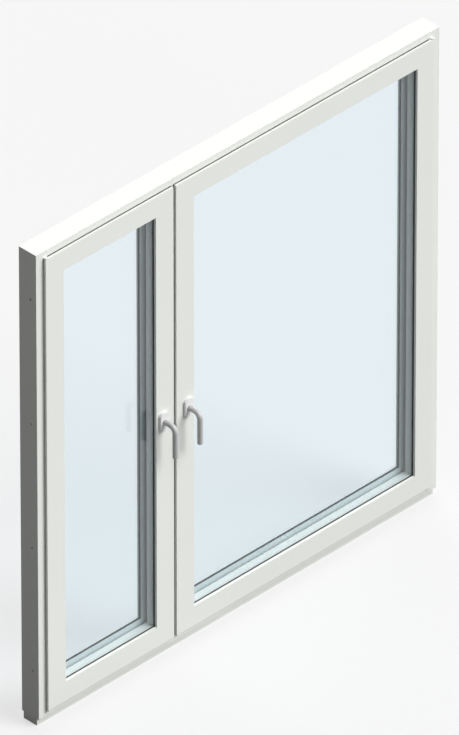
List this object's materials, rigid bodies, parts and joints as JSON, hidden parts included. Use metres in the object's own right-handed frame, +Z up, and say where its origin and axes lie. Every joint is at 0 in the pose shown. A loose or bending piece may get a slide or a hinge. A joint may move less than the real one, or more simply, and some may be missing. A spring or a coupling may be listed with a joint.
{
  "type": "casement window",
  "caption": "Inward-opening casement window: white frame with mullion, narrow and wide double-glazed sashes on corner pivots, lever handles driving locking rods, base profile below.",
  "frame": {"origin": "centre of the base profile's underside, on its mid depth", "axes": "+X to the right seen from the room, +Y outdoors, -Y towards the room, +Z up"},
  "size_m": [1.5, 0.129, 1.525],
  "materials": {
    "frame_white": "satin",
    "sash_white": "satin",
    "base_white": "satin",
    "galvanised_steel": "satin",
    "connector_alloy": "satin",
    "seal_black": "matte",
    "hardware_steel": "satin",
    "screw_steel": "satin",
    "follower_steel": "satin",
    "pivot_white": "satin",
    "pane_glass": "gloss",
    "spacer_white": "satin",
    "block_plastic": "matte",
    "bush_brass": "satin",
    "handle_satin": "satin"
  },
  "bodies": {
    "frame": {"frame_left_jamb": "frame_white", "frame_right_jamb": "frame_white", "frame_head": "frame_white", "frame_sill": "frame_white", "mullion": "frame_white", "base_profile": "base_white", "base_end_caps": "base_white", "frame_reinforcement": "galvanised_steel", "mullion_connectors": "connector_alloy", "stop_gaskets": "seal_black", "strikers": "hardware_steel", "hardware_screws": "screw_steel", "left_pivots": "pivot_white", "right_pivots": "pivot_white"},
    "left_sash": {"left_hinge_stile": "sash_white", "left_lock_stile": "sash_white", "left_top_rail": "sash_white", "left_bottom_rail": "sash_white", "left_reinforcement": "galvanised_steel", "left_cover_frame": "sash_white", "left_inner_pane": "pane_glass", "left_outer_pane": "pane_glass", "left_spacer": "spacer_white", "left_glazing_gaskets": "seal_black", "left_setting_blocks": "block_plastic", "left_overlap_gasket": "seal_black", "left_pivot_bushes": "bush_brass", "left_gearbox": "hardware_steel", "left_faceplate": "hardware_steel", "left_rosette": "handle_satin", "left_rosette_base": "block_plastic", "left_rosette_screws": "screw_steel"},
    "left_drive": {"left_drive_rod": "hardware_steel", "left_locking_cams": "hardware_steel"},
    "left_handle": {"left_lever": "handle_satin", "left_spindle": "screw_steel", "left_follower": "follower_steel"},
    "right_sash": {"right_hinge_stile": "sash_white", "right_lock_stile": "sash_white", "right_top_rail": "sash_white", "right_bottom_rail": "sash_white", "right_reinforcement": "galvanised_steel", "right_cover_frame": "sash_white", "right_inner_pane": "pane_glass", "right_outer_pane": "pane_glass", "right_spacer": "spacer_white", "right_glazing_gaskets": "seal_black", "right_setting_blocks": "block_plastic", "right_overlap_gasket": "seal_black", "right_pivot_bushes": "bush_brass", "right_gearbox": "hardware_steel", "right_faceplate": "hardware_steel", "right_rosette": "handle_satin", "right_rosette_base": "block_plastic", "right_rosette_screws": "screw_steel"},
    "right_drive": {"right_drive_rod": "hardware_steel", "right_locking_cams": "hardware_steel"},
    "right_handle": {"right_lever": "handle_satin", "right_spindle": "screw_steel", "right_follower": "follower_steel"}
  },
  "joints": [
    {"name": "left_sash_turn", "type": "hinge", "parent": "frame", "child": "left_sash", "pos_m": [-0.719, -0.0405, 0.775], "axis": [0, 0, -1], "range_deg": [0, 90]},
    {"name": "left_handle_turn", "type": "hinge", "parent": "left_sash", "child": "left_handle", "pos_m": [-0.295, -0.055, 0.775], "axis": [0, 1, 0], "range_deg": [0, 90]},
    {"name": "left_rod_slide", "type": "slide", "parent": "left_sash", "child": "left_drive", "axis": [0, 0, -1], "range_m": [0, 0.01772]},
    {"name": "right_sash_turn", "type": "hinge", "parent": "frame", "child": "right_sash", "pos_m": [0.719, -0.0405, 0.775], "axis": [0, 0, 1], "range_deg": [0, 90]},
    {"name": "right_handle_turn", "type": "hinge", "parent": "right_sash", "child": "right_handle", "pos_m": [-0.203, -0.055, 0.775], "axis": [0, -1, 0], "range_deg": [0, 90]},
    {"name": "right_rod_slide", "type": "slide", "parent": "right_sash", "child": "right_drive", "axis": [0, 0, -1], "range_m": [0, 0.01772]}
  ],
  "couplings": [
    {"joint": "left_rod_slide", "follows": "left_handle_turn", "m_per_rad": 0.01125},
    {"joint": "right_rod_slide", "follows": "right_handle_turn", "m_per_rad": 0.01125}
  ]
}
